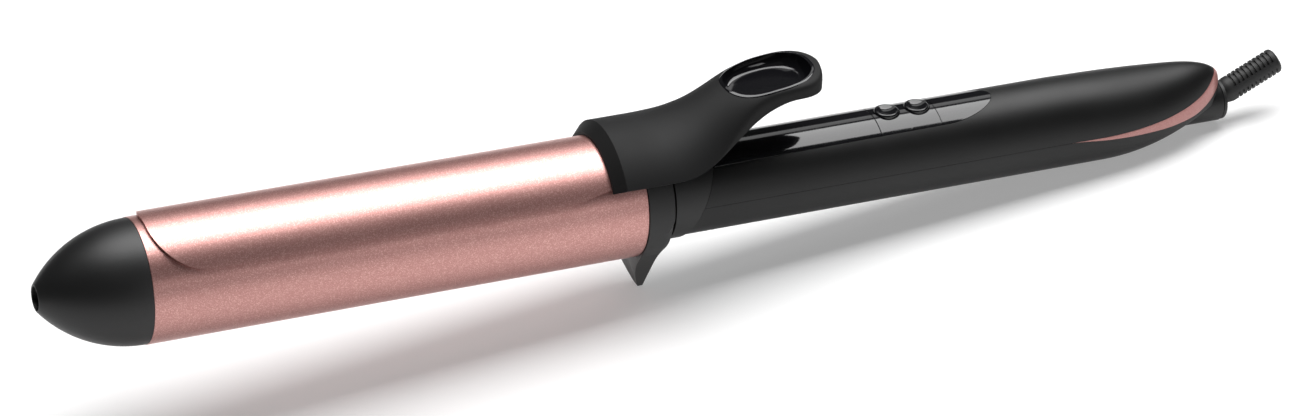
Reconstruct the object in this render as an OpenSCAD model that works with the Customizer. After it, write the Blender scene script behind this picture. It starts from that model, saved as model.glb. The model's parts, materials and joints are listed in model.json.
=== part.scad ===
// Curling iron: heated barrel with a spring clamp, stand foot, handle and a jointed cord swivel.
// Everything is drawn along the barrel's own axis: X runs from the tip to the cord, Z is the lever's
// side, and X = 0 is the seam between the tip and the barrel. stand() then leans the whole iron back
// on its foot and on the rear of its handle.

/* [Barrel and tip] */
// Outer radius of the heated barrel
barrel_r = 19; // [18.9:0.05:19.1]
// Length of the barrel that shows
barrel_l = 155.2; // [150:0.1:156]
// Wall of the barrel tube
barrel_wall = 0.7; // [0.6:0.05:0.8]
// Length of the cool tip
tip_l = 30.6; // [29:0.1:32]
// Radius of the arc that shapes the tip's side
tip_arc_r = 38.5; // [38:0.1:39]

/* [Clamp] */
// Gap between the barrel and the clamp plate
clamp_gap = 0.3; // [0.25:0.01:0.35]
// Thickness of the clamp plate
plate_t = 0.75; // [0.7:0.05:0.8]
// Half angle that the plate covers, from the lever's side
plate_angle = 59.5; // [58:0.5:60]
// Where the plate begins behind the tip
plate_x = 2.5; // [2:0.1:4]
// Length of the plate's rounded front corners
plate_corner_l = 17; // [14:0.5:20]
// Half angle that the plate covers at its rear, under the lever
plate_rear_angle = 52.5; // [50:0.5:56]

/* [Lever] */
// Outer radius of the lever's front, about the barrel axis
lever_r = 24.3; // [24:0.1:24.6]
// Front of the lever
lever_x = 143.9; // [143.5:0.1:144.2]
// End of the lever's tail
lever_end = 216.8; // [216:0.1:217.5]
// Highest point of the tail above the barrel axis
lever_top = 34.4; // [34:0.1:34.8]
// Half width of the tail
tail_w = 12.1; // [11.8:0.1:12.4]

/* [Hinge] */
// Hinge axis, along the barrel
hinge_x = 168; // [167.8:0.1:168.2]
// Hinge axis, above the barrel axis
hinge_z = 14.5; // [14.4:0.05:14.6]
// Radius of the hinge pin
pin_r = 1.5; // [1.4:0.05:1.6]

/* [Collar and foot] */
// Outer radius of the heat collar
collar_r = 19.5; // [19.4:0.05:19.55]
// Width of the heat collar
collar_l = 8.2; // [8:0.1:8.3]
// Distance of the foot's tip from the barrel axis
foot_r = 32.4; // [31:0.1:34]

/* [Handle] */
// Outer radius of the handle
handle_r = 14.25; // [14.2:0.05:14.3]
// How far the handle's axis lies below the barrel's
handle_drop = 1; // [0.9:0.05:1.1]
// Wall of the casings
casing_wall = 3.3; // [3.2:0.05:3.35]
// Where the handle's rounded rear begins
rear_x = 312; // [311:0.5:313]
// Rear end of the casings
handle_end = 357.2; // [357:0.1:357.3]

/* [Control panel] */
// Half width of the glossy panel at its front
panel_w = 9.2; // [9:0.1:9.4]
// Rear apex of the panel
panel_end = 276.7; // [275:0.1:278]
// Power button, along the handle
power_x = 241.5; // [241.3:0.1:241.6]
// Heat button, along the handle
heat_x = 251.6; // [251.5:0.1:251.8]
// Radius of both buttons
button_r = 3.95; // [3.8:0.05:4]

/* [Cord swivel] */
// How far the swivel's axis lies below the barrel's
swivel_drop = 3.2; // [3.1:0.05:3.3]
// Tilt joint of the strain relief, along the handle
tilt_x = 355.5; // [355.4:0.05:355.6]
// Angle at which the strain relief stands up from the handle
relief_angle = 26; // [20:1:26]
// Length of the strain relief from its tilt joint
relief_l = 25; // [24:0.5:27]
// Outer radius of the strain relief
relief_r = 4.15; // [4.05:0.05:4.2]
// Radius of the bore for the cord
flex_r = 3.1; // [2.9:0.05:3.15]

/* [Hidden] */
$fn = 96;

body_black = [0.10, 0.10, 0.11];
gloss_black = [0.04, 0.04, 0.045];
rose_gold = [0.83, 0.58, 0.55];
steel = [0.72, 0.73, 0.75];
brass = [0.80, 0.65, 0.30];

// Fits: between parts of one body, and between parts that turn in each other
seat = 0.05;
run = 0.05;
far = 500;

plate_in = barrel_r + clamp_gap;
plate_out = plate_in + plate_t;
barrel_in = barrel_r - barrel_wall;
collar_x = barrel_l + seat;
collar_end = collar_x + collar_l;
cavity_r = handle_r - casing_wall;
swivel_end = handle_end + 1.2;

// The neck and the casings meet on a plane that leans back toward the lever's side
neck_x = 175.6;
neck_slant = 22.3;

// Underside of the handle's rear: an arc, which the iron rests on
rest_arc_x = 315;
rest_arc_r = 60;
rest_arc_z = rest_arc_r - handle_r - handle_drop;

// The iron leans by the angle of the line from the foot's tip that touches that arc
foot_x = 161;
to_arc_x = rest_arc_x - foot_x;
to_arc_z = rest_arc_z + foot_r;
lean = atan2(to_arc_z, to_arc_x) - asin(rest_arc_r / norm([to_arc_x, to_arc_z]));
relief_end_x = tilt_x + relief_l * cos(relief_angle) - relief_r * sin(relief_angle);
middle_x = (relief_end_x - tip_l) / 2 * cos(lean);
stand_z = foot_x * sin(lean) + foot_r * cos(lean);

// Step from 0 to 1 between a and b that starts and ends level
function ease(a, b, x) = let(t = min(1, max(0, (x - a) / (b - a)))) t * t * (3 - 2 * t);
function mix(a, b, t) = a + (b - a) * t;

module stand() {
    translate([-middle_x, 0, stand_z]) rotate([0, lean, 0]) children();
}

// Turned part about the barrel axis, or about an axis dz above it: points are [radius, x]
module turned(points, dz = 0) {
    translate([0, 0, dz]) rotate([0, 90, 0]) rotate_extrude() polygon(points);
}

module rod_x(r, x0, x1, y = 0, z = 0) {
    translate([x0, y, z]) rotate([0, 90, 0]) cylinder(r = r, h = x1 - x0);
}

module tube_x(r_out, r_in, x0, x1, z = 0) {
    turned([[r_in, x0], [r_out, x0], [r_out, x1], [r_in, x1]], z);
}

module rod_y(r, y0, y1, x, z) {
    translate([x, y1, z]) rotate([90, 0, 0]) cylinder(r = r, h = y1 - y0);
}

module rod_z(r, z0, z1, x, y = 0) {
    translate([x, y, z0]) cylinder(r = r, h = z1 - z0);
}

module block(x0, x1, y0, y1, z0, z1) {
    translate([x0, y0, z0]) cube([x1 - x0, y1 - y0, z1 - z0]);
}

// Outline given as [x, z] points, drawn across the iron
module side_cut(points, half_w = 40) {
    rotate([90, 0, 0]) linear_extrude(2 * half_w, center = true) polygon(points);
}

// Outline given as [x, y] points, drawn upward from z0 to z1
module plan_cut(points, z0 = -60, z1 = 60) {
    translate([0, 0, z0]) linear_extrude(z1 - z0) polygon(points);
}

// Wedge of the space about the barrel axis, out to half angle a on the lever's side
module lever_side(a, x0, x1, reach = 60) {
    edge = [reach * sin(a), reach * cos(a)];
    translate([x0, 0, 0]) rotate([90, 0, 90]) linear_extrude(x1 - x0)
        polygon([[0, 0], edge, [edge[0], reach], [-edge[0], reach], [-edge[0], edge[1]]]);
}

// Skin between rings of points: each ring has the same number of points, in the same order
module loft(rings) {
    n = len(rings[0]);
    last = len(rings) - 1;
    sides = [for (i = [0:last - 1], j = [0:n - 1])
        let(k = (j + 1) % n) each [
            [i * n + j, (i + 1) * n + k, (i + 1) * n + j],
            [i * n + j, i * n + k, (i + 1) * n + k]]];
    // Each end is closed in strips between the outer and the inner half of its ring
    caps = [for (j = [0:n / 2 - 2]) let(m = n - 1 - j) each [
        [j, m - 1, j + 1], [j, m, m - 1],
        [last * n + j, last * n + j + 1, last * n + m - 1], [last * n + j, last * n + m - 1, last * n + m]]];
    polyhedron(points = [for (ring = rings) each ring], faces = concat(sides, caps), convexity = 6);
}

// Round wire along a path of points; each ring stands square to the path
module wire(path, r, sides = 8) {
    last = len(path) - 1;
    unit = function (v) v / norm(v);
    heading = function (i) unit(path[min(last, i + 1)] - path[max(0, i - 1)]);
    rings = [for (i = [0:last])
        let(d = heading(i), ref = abs(d[1]) > 0.9 ? [0, 0, 1] : [0, 1, 0])
        let(u = unit(cross(ref, d)), v = cross(d, u))
        [for (j = [0:sides - 1]) path[i] + r * (cos(360 * j / sides) * u + sin(360 * j / sides) * v)]];
    points = concat([for (ring = rings) each ring], [path[0], path[last]]);
    skin = [for (i = [0:last - 1], j = [0:sides - 1])
        let(k = (j + 1) % sides) each [
            [i * sides + j, (i + 1) * sides + j, (i + 1) * sides + k],
            [i * sides + j, (i + 1) * sides + k, i * sides + k]]];
    tips = [for (j = [0:sides - 1]) let(k = (j + 1) % sides) each [
        [len(points) - 2, j, k], [len(points) - 1, last * sides + k, last * sides + j]]];
    polyhedron(points = points, faces = concat(skin, tips), convexity = 8);
}

// ---------------------------------------------------------------- barrel and tip

module barrel_tube() {
    color(rose_gold) tube_x(barrel_r, barrel_in, seat, barrel_l);
}

tip_hole_r = 3.6;
tip_screw_x = -24;
tip_skin = 1.6;
spigot_l = 7;

// Radius of the tip's side at x, and of its hollow
function tip_r(x) = barrel_r - 0.15 - tip_arc_r + sqrt(tip_arc_r * tip_arc_r - x * x);

module cool_tip() {
    steps = 14;
    nose = [for (i = [0:steps]) let(x = -(tip_l - 0.5) * i / steps) [tip_r(x), x]];
    hollow = [for (i = [0:6]) let(x = (tip_screw_x + 2.5) * (1 - i / 6)) [tip_r(x) - tip_skin, x]];
    color(body_black) turned(concat(
        nose, [[tip_hole_r, -tip_l], [tip_hole_r, tip_screw_x], [1.8, tip_screw_x],
        [1.8, tip_screw_x + 2.5]], hollow, [[barrel_in - 2.2, 0], [barrel_in - 2.2, spigot_l],
        [barrel_in - seat, spigot_l], [barrel_in - seat, 0]]));
}

module tip_screw() {
    color(steel) difference() {
        union() {
            rod_x(2.8, tip_screw_x - 2, tip_screw_x, 0, 0);
            rod_x(1.5, tip_screw_x, 11, 0, 0);
        }
        for (a = [0, 90]) rotate([a, 0, 0]) block(tip_screw_x - 3, tip_screw_x - 1, -0.4, 0.4, -2, 2);
    }
}

bracket_x = spigot_l + 0.2;

// Cross bar that the tip's screw pulls against, held in the barrel by its bent ends
module tip_bracket() {
    bar_w = 7;
    half = bar_w / 2;
    color(steel) difference() {
        intersection() {
            union() {
                block(bracket_x, bracket_x + 1, -20, 20, -half, half);
                for (s = [-1, 1]) scale([1, s, 1]) block(bracket_x, bracket_x + 7, 17.1, 20, -half, half);
                rod_x(3.2, bracket_x, bracket_x + 3);
            }
            rod_x(barrel_in - seat, 0, 30);
        }
        rod_x(1.55, 0, 30);
    }
}

// ---------------------------------------------------------------- heater

heater_x0 = 66;
heater_x1 = 126;
heater_t = 2.4;

module ptc_heater() {
    color([0.92, 0.90, 0.84]) block(heater_x0 + 4, heater_x1 - 4, -7, 7, -heater_t / 2, heater_t / 2);
}

// Half shell that carries the heat to the barrel, with a flat web against the heater
module spreader() {
    t = 0.6;
    out = barrel_in - 0.15;
    intersection() {
        tube_x(out, out - t, heater_x0, heater_x1);
        lever_side(66, heater_x0, heater_x1);
    }
    block(heater_x0, heater_x1, -8.5, 8.5, heater_t / 2 + seat, heater_t / 2 + 1);
    mid_r = out - t / 2;
    for (s = [-1, 1]) scale([1, s, 1])
        side_rib(heater_x0, heater_x1, [[7.6, heater_t / 2 + 0.5], [8.5, heater_t / 2 + 0.5],
            mid_r * [sin(60), cos(60)], mid_r * [sin(57), cos(57)]]);
}

// Slanted rib between the web and the shell: points are [y, z]
module side_rib(x0, x1, points) {
    translate([x0, 0, 0]) rotate([90, 0, 90]) linear_extrude(x1 - x0) polygon(points);
}

module upper_spreader() {
    color([0.78, 0.78, 0.80]) spreader();
}

module lower_spreader() {
    color([0.74, 0.74, 0.76]) mirror([0, 0, 1]) spreader();
}

// Leaf springs that push the shells out against the barrel
module spreader_springs() {
    color(steel) for (x = [72, 108], s = [-1, 1])
        scale([1, s, 1]) block(x, x + 12, 7.6, 8.2, -heater_t / 2 + 0.1, heater_t / 2 - 0.1);
}

module temperature_sensor() {
    color([0.85, 0.45, 0.2]) rod_x(1.2, 100, 108, 0, heater_t / 2 + 2.3);
}

module thermal_fuse() {
    color([0.8, 0.8, 0.82]) {
        rod_x(1.9, 128.5, 137, 0, -6);
        rod_x(0.5, 126.5, 128.5, 0, -6);
        rod_x(0.5, 137, 140, 0, -6);
    }
}

lead_y = [-4.8, -1.6, 1.6, 4.8];
lead_z = 1.6;
disc_x = 142;

module insulating_disc() {
    color([0.86, 0.82, 0.70]) difference() {
        rod_x(barrel_in - 0.2, disc_x, disc_x + 1.5);
        for (y = lead_y) rod_x(0.9, disc_x - 1, disc_x + 3, y, lead_z);
    }
}

module heater_leads() {
    color([0.9, 0.9, 0.88]) for (y = lead_y) rod_x(0.7, heater_x1 + 0.3, 192, y, lead_z);
}

// ---------------------------------------------------------------- collar, foot and neck

collar_bore = 9.9;
foot_half_w = 1.6;
foot_half_l = 1.2;

module heat_collar() {
    tangent = acos(collar_r / foot_r);
    start = collar_r * [sin(tangent), cos(tangent)];
    color(body_black) difference() {
        union() {
            intersection() {
                // Ring and foot as seen along the barrel
                translate([collar_x - 1, 0, 0]) rotate([90, 0, 90]) linear_extrude(collar_l + 2) union() {
                    circle(r = collar_r);
                    polygon([-start, [-foot_half_w, -foot_r - 1], [foot_half_w, -foot_r - 1],
                        [start[0], -start[1]]]);
                }
                // Ring and foot as seen from the side: the foot thins toward its tip
                side_cut([[collar_x, 25], [collar_x, -collar_r + 1], [foot_x - foot_half_l, -foot_r - 1],
                    [foot_x + foot_half_l, -foot_r - 1], [collar_end, -collar_r + 1], [collar_end, 25]]);
            }
            rod_x(barrel_in - seat, barrel_l - 7, collar_x + 1);
        }
        rod_x(barrel_in - 2.2, barrel_l - 8, barrel_l);
        rod_x(collar_bore, barrel_l - 8, collar_end + 5);
        // The tip is cut level with the ground
        translate([foot_x, 0, -foot_r]) rotate([0, -lean, 0]) block(-20, 20, -20, 20, -20, 0);
    }
}

// Everything behind the slanted plane between the neck and the casings
module behind_neck(gap) {
    translate([neck_x + gap, 0, 0]) rotate([0, neck_slant, 0]) block(0, far, -50, 50, -100, 100);
}

ear_in = 5.2;
ear_out = 8.2;

module neck_housing() {
    neck_r = handle_r + 0.45;
    groove_end = collar_end + 2.6;
    color(body_black) difference() {
        union() {
            difference() {
                union() {
                    rod_x(neck_r - 1.1, collar_end + seat, groove_end, 0, -handle_drop);
                    rod_x(neck_r, groove_end, 190, 0, -handle_drop);
                }
                behind_neck(-0.2);
            }
            // Spigots into the collar and into the casings
            rod_x(collar_bore - seat, collar_x + 1, collar_end + 1);
            rod_x(cavity_r - seat, 170, 186, 0, -handle_drop);
            for (s = [-1, 1]) scale([1, s, 1]) hinge_ear();
        }
        rod_x(8, 150, 200, 0, -handle_drop);
        rod_y(pin_r + 0.02, -20, 20, hinge_x, hinge_z);
        // Pocket for the spring's coil
        block(hinge_x - 4.2, hinge_x + 4.2, -ear_in, ear_in, 7, 30);
        casing_screw_holes(1.05);
    }
}

// One of the neck's two ears that carry the hinge pin
module hinge_ear() {
    ear_r = 3.3;
    rod_y(ear_r, ear_in, ear_out, hinge_x, hinge_z);
    block(hinge_x - ear_r, hinge_x + ear_r, ear_in, ear_out, 8, hinge_z);
}

// ---------------------------------------------------------------- hinge, spring and clamp

module hinge_pin() {
    color(steel) rod_y(pin_r, -10.2, 10.2, hinge_x, hinge_z);
}

spring_wire_r = 0.5;
spring_r = 2.6;
spring_turns = 5;

// Torsion spring: one leg against the neck, the coil about the pin, and one leg that passes under the
// strap and bends up to the lever's roof
module clamp_spring() {
    start = 215;
    steps = 12 * spring_turns;
    sweep = 360 * spring_turns + 90;
    coil = [for (i = [0:steps]) let(a = start - sweep * i / steps)
        [hinge_x + spring_r * cos(a), -3 + 6 * i / steps, hinge_z + spring_r * sin(a)]];
    leg_down = [hinge_x - 3.65, -3.1, hinge_z - 5.6];
    bend = [hinge_x + 5.8, 3.1, hinge_z + 4.3];
    leg_up = [hinge_x + 9.5, 3.1, hinge_z + 9.4];
    color(steel) wire(concat([leg_down], coil, [bend, leg_up]), spring_wire_r);
}

// One edge of the clamp plate seen from the lever's side, from the front: the corner is a quarter
// ellipse, and the plate narrows just before the lever covers it
plate_nose_angle = 10;
plate_narrow_x = [129, 145];
function plate_edge(side) =
    let(cut_r = side * (plate_out + 0.3), n = 12)
    concat([for (i = [0:n]) let(t = 90 * i / n, a = mix(plate_nose_angle, plate_angle, sin(t)))
        [plate_x + plate_corner_l * (1 - cos(t)), cut_r * sin(a)]],
        [for (i = [0:n]) [mix(plate_narrow_x[0], plate_narrow_x[1], i / n),
            cut_r * sin(mix(plate_angle, plate_rear_angle, ease(0, n, i)))]],
        [[200, cut_r * sin(plate_rear_angle)]]);

plate_end = barrel_l - 0.4;
rivet_x = 150.5;
rivet_angles = [-18, 0, 18];
rivet_r = 1.2;

module clamp_plate() {
    near_edge = plate_edge(-1);
    outline = concat([for (i = [len(near_edge) - 1:-1:0]) near_edge[i]], plate_edge(1));
    color(rose_gold) difference() {
        intersection() {
            tube_x(plate_out, plate_in, plate_x, plate_end);
            lever_side(plate_angle, 0, 200);
            plan_cut(outline, 5, 30);
        }
        for (a = rivet_angles) rotate([a, 0, 0]) rod_z(rivet_r + 0.03, 10, 30, rivet_x);
    }
}

strap_in = plate_out + seat;
strap_out = strap_in + 0.8;
strap_angle = 30;
strap_end = 173;
lever_screw_x = [165.9, 171.1];

// Steel strap riveted on the plate, with two ears that turn on the hinge pin
module clamp_bracket() {
    arm_in = ear_out + 0.15;
    arm_out = arm_in + 1;
    color(steel) difference() {
        union() {
            intersection() {
                tube_x(strap_out, strap_in, 146, strap_end);
                lever_side(strap_angle, 146, strap_end);
            }
            for (s = [-1, 1]) scale([1, s, 1]) {
                rod_y(3.4, arm_in, arm_out, hinge_x, hinge_z);
                block(hinge_x - 3.1, hinge_x + 3.1, arm_in, arm_out, hinge_z, 18.6);
            }
        }
        for (a = rivet_angles) rotate([a, 0, 0]) rod_z(rivet_r + 0.03, 10, 30, rivet_x);
        for (x = lever_screw_x) rod_z(1.25, 10, 30, x);
        rod_y(pin_r + run, -20, 20, hinge_x, hinge_z);
    }
}

module plate_rivets() {
    color(steel) for (a = rivet_angles) rotate([a, 0, 0])
        rod_z(rivet_r, plate_in + 0.1, strap_out - 0.05, rivet_x);
}

// ---------------------------------------------------------------- lever

lever_in = plate_out + 0.15;
lever_angle = 56;
dish_x0 = 185.6;
dish_x1 = 215.4;
dish_w = 11;
dish_deep = 3.8;
dish_skin = 1.2;
tail_under = 27;
tail_blunt_x = 206;
tail_arc_r = 75;
tail_arc_x = 199;

// The lever's half width, top and lower edge along its length, and its front bevel
function bevel(x) = 3.2 * min(1, max(0, (lever_x + 3.3 - x) / 3.3));
function tail_round(x) = let(t = max(0, x - tail_blunt_x) / (lever_end - tail_blunt_x))
    pow(max(0.004, 1 - pow(t, 2.6)), 1 / 2.6);
function lever_w(x) = tail_round(x)
    * (mix(lever_r * sin(lever_angle), tail_w, ease(163, 197, x)) - bevel(x) * 0.83);
function tail_top(x) = lever_top - tail_arc_r + sqrt(pow(tail_arc_r, 2) - pow(x - tail_arc_x, 2));
function lever_z(x) = mix(lever_r, tail_top(x), ease(160, 192, x)) - bevel(x);
function lever_low(x) = mix(lever_r * cos(lever_angle), 29.9, ease(168, 208, x)) - bevel(x) * 0.56;
function inner_w(x) = mix(lever_in * sin(lever_angle), tail_w - 1.4, ease(163, 197, x)) * tail_round(x);
function inner_z(x) = mix(lever_in, tail_under, ease(160, 188, x));
function inner_low(x) = mix(lever_in * cos(lever_angle), 29.5, ease(168, 208, x));

// One point of an arch of half width w between the heights low and top. s runs from -1 to 1 across it;
// flat turns the round arch into a flat-topped one
function arch(x, w, low, top, s, flat) =
    let(a = lever_angle * s, round_y = sin(a) / sin(lever_angle),
        round_z = (cos(a) - cos(lever_angle)) / (1 - cos(lever_angle)),
        box_y = sign(s) * pow(abs(sin(90 * s)), 0.55), box_z = pow(max(0, cos(90 * s)), 0.3))
    [x, w * mix(round_y, box_y, flat), low + (top - low) * mix(round_z, box_z, flat)];

function lever_ring(x) = let(n = 14, flat = ease(175, 200, x)) concat(
    [for (i = [-n:n]) arch(x, lever_w(x), lever_low(x), lever_z(x), i / n, flat)],
    [for (i = [-n:n]) arch(x, inner_w(x), inner_low(x), inner_z(x), -i / n, 0)]);

// Outline of the thumb dish, seen from above: a full oval, a little longer at the rear
function bulge(v) = sign(v) * pow(abs(v), 0.85);
function dish_outline(grow) = let(mid = 200, n = 24) [for (i = [0:2 * n - 1])
    let(a = 180 * i / n, reach = cos(a) > 0 ? dish_x1 - mid : mid - dish_x0)
    [mid + (reach + grow) * bulge(cos(a)), (dish_w + grow) * bulge(sin(a))]];

// Trough that makes the dish's hollow: a round bottom along the lever, grown by a skin
module dish_space(skin) {
    bowl_r = (dish_w * dish_w + dish_deep * dish_deep) / (2 * dish_deep);
    intersection() {
        plan_cut(dish_outline(skin - dish_skin), 20, 50);
        rod_x(bowl_r + skin, 180, 225, 0, lever_top - dish_deep + bowl_r);
    }
}

module lever_shell() {
    stations = concat([lever_x, lever_x + 1.1, lever_x + 2.2, lever_x + 3.3, 153, 160],
        [for (x = [163:3:208]) x], [210, 212, 213.5, 214.7, 215.6, 216.2, 216.6, lever_end]);
    color(body_black) difference() {
        loft([for (x = stations) lever_ring(x)]);
        // Seat of the thumb dish
        dish_space(dish_skin + seat);
        // Room for the strap and the screws in the roof
        intersection() {
            rod_x(strap_out + seat, 145.8, strap_end + 0.2);
            lever_side(strap_angle + 0.5, 145.8, strap_end + 0.2);
        }
        for (x = lever_screw_x) rod_z(1.05, 10, 23.4, x);
    }
}

module thumb_dish() {
    color(gloss_black) difference() {
        intersection() {
            dish_space(dish_skin);
            rod_y(tail_arc_r - 0.05, -20, 20, tail_arc_x, lever_top - tail_arc_r);
        }
        dish_space(0);
    }
}

module lever_screws() {
    color(steel) for (x = lever_screw_x) {
        rod_z(1, strap_in - 1, 23.2, x);
        rod_z(2.1, strap_in - 1.4, strap_in - 0.15, x);
    }
}

// ---------------------------------------------------------------- handle casings

// Half width of the handle's rear, seen from above: half an ellipse
function rear_outline(shrink = 0) = concat([[150, -30], [rear_x, -30]],
    [for (i = [0:24]) let(a = -90 + 180 * i / 24)
        [rear_x + (handle_end - rear_x - shrink) * cos(a), (handle_r - shrink) * sin(a)]],
    [[rear_x, 30], [150, 30]]);

// The handle's rear seen from the side: a nearly level top, a blunt rear, and the arc underneath
function rear_side() = concat([[150, 20], [284, handle_r - handle_drop + 0.02], [321, 12.6], [338, 12],
    [346, 11.4], [351, 10.7], [354.5, 9.2], [356.4, 7], [handle_end, 4.4], [handle_end, -9.7], [340, -9.7]],
    [for (i = [12:-1:0]) let(x = rest_arc_x + 25 * i / 12)
        [x, rest_arc_z - sqrt(pow(rest_arc_r, 2) - pow(x - rest_arc_x, 2))]], [[150, -15.3]]);

// The same, seen from 32.5 degrees to either side of the lever's side: this rounds the rear's corners
oblique_view = 32.5;
oblique_side = [[150, 20], [300, 13.45], [321, 12.9], [330, 12.5], [338, 11.8], [346, 10.8], [350, 10.1],
    [354, 8.7], [356, 6.6], [handle_end, 4.2], [handle_end, -9.4], [348.6, -9.6], [343, -10], [339, -10.7],
    [330, -13.3], [321, -14.9], [312, -15.4], [150, -15.6]];

// Outer radius of the socket that the cord swivel turns in
socket_r = 6.5;

module handle_form() {
    intersection() {
        rod_x(handle_r, 165, handle_end, 0, -handle_drop);
        plan_cut(rear_outline());
        side_cut(rear_side());
        both_oblique() side_cut(oblique_side);
    }
    rod_x(socket_r, 336, handle_end, 0, -swivel_drop);
}

// What both oblique views leave of the handle
module both_oblique() {
    intersection() {
        rotate([oblique_view, 0, 0]) children();
        rotate([-oblique_view, 0, 0]) children();
    }
}

chamber_x0 = 316;
chamber_x1 = 335;
chamber_r = 7.2;
journal_r = 5.5;

// Hollow of the handle: a long cavity, the slip ring chamber and the swivel's bore
module handle_hollow() {
    rod_x(cavity_r, 150, 318, 0, -handle_drop);
    rod_x(chamber_r, chamber_x0, chamber_x1, 0, -swivel_drop);
    rod_x(journal_r + run, chamber_x1 - 1, handle_end + 5, 0, -swivel_drop);
}

// The seam between the casings rises over the rear end: lower and upper edge of the trim band
trim_low = [[299, -1], [313, -2.2], [326, -2.7], [338, -2.5], [346, -1.2], [351, 0.9], [355, 3.2],
    [365, 9.5]];
trim_high = [[299, -1], [313, -1], [326, -0.2], [336.5, 1.2], [344.5, 3.1], [349.5, 5], [353.5, 7.4],
    [360, 12.5]];

// Outlines of everything above and below a seam curve that starts level with the handle's axis
function above(curve, lift) = concat([[100, -handle_drop + lift]], [for (p = curve) p + [0, lift]],
    [[400, 40], [100, 40]]);
function below(curve, drop) = concat([[100, -handle_drop - drop]], [for (p = curve) p - [0, drop]],
    [[400, 12], [400, -40], [100, -40]]);

screw_spots = [181.5, 286];
screw_y = 5.2;
screw_boss_r = 2.4;
screw_seat_z = -12.1;
screw_head_h = 1.15;

// Holes for the casing screws, from below: two bite into the neck and two into the upper casing's bosses
module casing_screw_holes(r) {
    for (x = screw_spots, s = [-1, 1]) rod_z(r, -30, -2, x, s * screw_y);
}

panel_skin = 1.5;
panel_x = 168;
panel_seams = [236.3, 256.8];

// Plan of the control panel: straight and slightly tapering sides, then half an ellipse
function panel_outline(grow) =
    let(round_l = 18.7, w_end = panel_w - 0.65)
    concat([[panel_x, panel_w + grow]],
        [for (i = [0:16]) let(a = 90 - 180 * i / 16)
            [panel_end - round_l + (round_l + grow) * cos(a), (w_end + grow) * sin(a)]],
        [[panel_x, -panel_w - grow]]);

// Curved slab under the panel's outline between two radii of the handle
module panel_slab(r_out, r_in, grow, x0, x1) {
    intersection() {
        tube_x(r_out, r_in, x0, x1, -handle_drop);
        plan_cut(panel_outline(grow), 0, 40);
    }
}

module upper_casing() {
    color(body_black) difference() {
        intersection() {
            handle_form();
            behind_neck(0.2);
            side_cut(above(trim_high, 0.04));
        }
        handle_hollow();
        panel_slab(handle_r + 2, handle_r - panel_skin - seat, 0.12, 150, 300);
        for (x = [power_x, heat_x]) rod_z(5.1, 0, 40, x);
        casing_screw_holes(1.05);
    }
    // Bosses that the rear pair of casing screws bite into
    color(body_black) for (s = [-1, 1]) difference() {
        intersection() {
            rod_z(screw_boss_r, -8.7, 12, screw_spots[1], s * screw_y);
            rod_x(cavity_r + 0.5, 150, 320, 0, -handle_drop);
        }
        casing_screw_holes(1.05);
    }
}

module lower_casing() {
    color(body_black) difference() {
        intersection() {
            handle_form();
            behind_neck(0.2);
            side_cut(below(trim_low, 0.04));
        }
        handle_hollow();
        casing_screw_holes(1.4);
        for (x = screw_spots, s = [-1, 1]) rod_z(screw_boss_r, -30, screw_seat_z, x, s * screw_y);
    }
}

// Pink band that rides in the seam and wraps the rear end
module accent_trim() {
    outline = concat(trim_low, [for (i = [len(trim_high) - 1:-1:1]) trim_high[i]]);
    color(rose_gold) difference() {
        intersection() {
            handle_form();
            side_cut(outline);
        }
        intersection() {
            plan_cut(rear_outline(1.8));
            rod_x(handle_r - 1.8, 150, 400, 0, -handle_drop);
        }
        handle_hollow();
    }
}

module casing_screws() {
    color(steel) for (x = screw_spots, s = [-1, 1]) {
        rod_z(1, screw_seat_z - 0.5, -4.5, x, s * screw_y);
        rod_z(2.2, screw_seat_z - screw_head_h, screw_seat_z - 0.05, x, s * screw_y);
    }
}

// ---------------------------------------------------------------- panel and buttons

module front_panel() {
    color(gloss_black) intersection() {
        panel_slab(handle_r, handle_r - panel_skin, 0, 150, panel_seams[0] - 0.08);
        behind_neck(0.4);
    }
}

module button_plate() {
    color(gloss_black) difference() {
        panel_slab(handle_r, handle_r - panel_skin, 0, panel_seams[0] + 0.08, panel_seams[1] - 0.08);
        for (x = [power_x, heat_x]) rod_z(button_r + 0.15, 0, 40, x);
    }
}

module rear_panel() {
    color(gloss_black) panel_slab(handle_r, handle_r - panel_skin, 0, panel_seams[1] + 0.08, 300);
}

button_top = 13.95;

// Round key with a dished top, a flange under the plate and a stem over its switch
module button(x) {
    difference() {
        union() {
            rod_z(button_r, 9.5, button_top, x);
            rod_z(4.8, 9.5, 10.3, x);
            rod_z(1.5, 8.8, 9.6, x);
        }
        translate([x, 0, button_top + 8.4]) sphere(r = 9);
    }
}

module power_button() {
    color(gloss_black) button(power_x);
}

module heat_button() {
    color(gloss_black) button(heat_x);
}

// ---------------------------------------------------------------- electronics

board_x0 = 190;
board_x1 = 300;
board_z = 2.4;
board_t = 1.6;
board_top = board_z + board_t;
board_screw_x = [205, 278];

module circuit_board() {
    color([0.10, 0.35, 0.18]) difference() {
        block(board_x0, board_x1, -9, 9, board_z, board_top);
        for (x = board_screw_x) rod_z(1.1, 0, 10, x, 6.5);
        for (s = [-1, 1]) rod_z(screw_boss_r + 0.2, 0, 10, screw_spots[1], s * screw_y);
    }
}

module board_screws() {
    color(steel) for (x = board_screw_x) {
        rod_z(1, board_z - 2, board_top + 0.05, x, 6.5);
        rod_z(1.9, board_top + 0.05, board_top + 1.3, x, 6.5);
    }
}

module tact_switches() {
    color([0.15, 0.15, 0.16]) for (x = [power_x, heat_x]) {
        block(x - 3, x + 3, -3, 3, board_top + seat, board_top + 3.4);
        rod_z(1.6, board_top + 3.3, board_top + 4, x);
    }
}

module indicator_leds() {
    color([0.9, 0.3, 0.2]) for (y = [-5.2, 0, 5.2]) rod_z(0.9, board_top + seat, board_top + 2.4, 261, y);
}

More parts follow.
